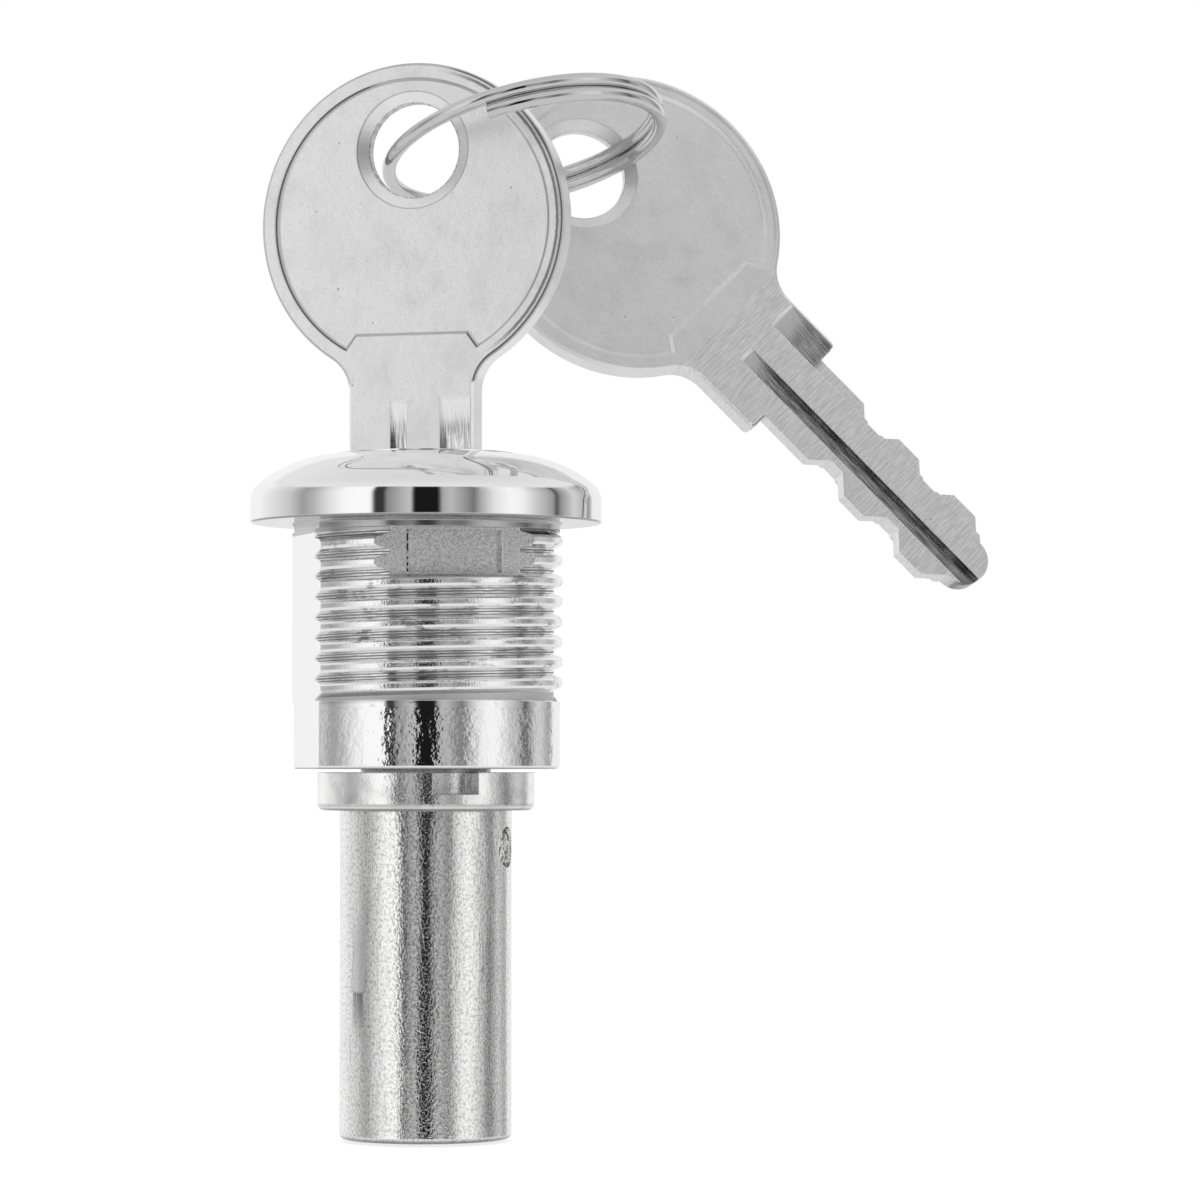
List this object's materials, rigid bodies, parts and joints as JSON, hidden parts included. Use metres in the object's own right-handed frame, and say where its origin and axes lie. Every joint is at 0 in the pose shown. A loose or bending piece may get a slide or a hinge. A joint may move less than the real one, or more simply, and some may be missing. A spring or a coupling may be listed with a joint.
{
  "type": "vending machine lock",
  "caption": "Cylinder lock with a domed flange, threaded barrel with a flat, turning drive tube, flat double-cut keys and a split ring.",
  "frame": {"origin": "on the lock's axis at the underside of the flange, where the panel's outer face comes", "axes": "+Z along the lock's axis out of the panel towards the key, -X square to the barrel's flat"},
  "size_m": [0.0577, 0.026, 0.0807],
  "materials": {
    "polished_chrome": "polished plate over die casting",
    "nickel_plate": "bright nickel plate",
    "grained_nickel": "coarse bright nickel plate on steel",
    "key_nickel": "satin nickel plate",
    "ring_steel": "polished spring steel",
    "wafer_brass": "stamped brass",
    "spring_steel": "drawn wire"
  },
  "bodies": {
    "housing": {"housing": "polished_chrome"},
    "plug": {"plug": "polished_chrome", "stop_collar": "nickel_plate", "drive_tube": "grained_nickel", "cross_pin": "grained_nickel", "wafer_spring_1": "spring_steel", "wafer_spring_2": "spring_steel", "wafer_spring_3": "spring_steel", "wafer_spring_4": "spring_steel", "wafer_spring_5": "spring_steel"},
    "key": {"key": "key_nickel"},
    "ring": {"split_ring": "ring_steel"},
    "spare_key": {"spare_key": "key_nickel"},
    "wafer_1": {"wafer_1": "wafer_brass"},
    "wafer_2": {"wafer_2": "wafer_brass"},
    "wafer_3": {"wafer_3": "wafer_brass"},
    "wafer_4": {"wafer_4": "wafer_brass"},
    "wafer_5": {"wafer_5": "wafer_brass"}
  },
  "joints": [
    {"name": "plug_turn", "type": "hinge", "parent": "housing", "child": "plug", "pos_m": [0, 0, 0], "axis": [0, 0, -1], "range_deg": [0, 180]},
    {"name": "key_slide", "type": "slide", "parent": "plug", "child": "key", "axis": [0, 0, 1], "range_m": [0, 0.026]},
    {"name": "ring_swing", "type": "hinge", "parent": "key", "child": "ring", "pos_m": [-0.00231, 0.00158, 0.02713], "axis": [-0.0656, -0.9515, 0.3007], "range_deg": [-10, 75]},
    {"name": "spare_key_swing", "type": "hinge", "parent": "ring", "child": "spare_key", "pos_m": [0.01572, 0.00815, 0.02801], "axis": [0.6405, -0.7079, 0.2976], "range_deg": [-25, 75]},
    {"name": "wafer_1_slide", "type": "slide", "parent": "plug", "child": "wafer_1", "axis": [0.8241, -0.5664, 0], "range_m": [0, 0.0009], "deforming": ["wafer_spring_1"]},
    {"name": "wafer_2_slide", "type": "slide", "parent": "plug", "child": "wafer_2", "axis": [-0.8241, 0.5664, 0], "range_m": [0, 0.0009], "deforming": ["wafer_spring_2"]},
    {"name": "wafer_3_slide", "type": "slide", "parent": "plug", "child": "wafer_3", "axis": [0.8241, -0.5664, 0], "range_m": [0, 0.0009], "deforming": ["wafer_spring_3"]},
    {"name": "wafer_4_slide", "type": "slide", "parent": "plug", "child": "wafer_4", "axis": [-0.8241, 0.5664, 0], "range_m": [0, 0.0009], "deforming": ["wafer_spring_4"]},
    {"name": "wafer_5_slide", "type": "slide", "parent": "plug", "child": "wafer_5", "axis": [0.8241, -0.5664, 0], "range_m": [0, 0.0009], "deforming": ["wafer_spring_5"]}
  ],
  "couplings": [
    {"joint": "wafer_1_slide", "follows": "key_slide", "ratio": 0.0346},
    {"joint": "wafer_2_slide", "follows": "key_slide", "ratio": 0.0346},
    {"joint": "wafer_3_slide", "follows": "key_slide", "ratio": 0.0346},
    {"joint": "wafer_4_slide", "follows": "key_slide", "ratio": 0.0346},
    {"joint": "wafer_5_slide", "follows": "key_slide", "ratio": 0.0346}
  ]
}
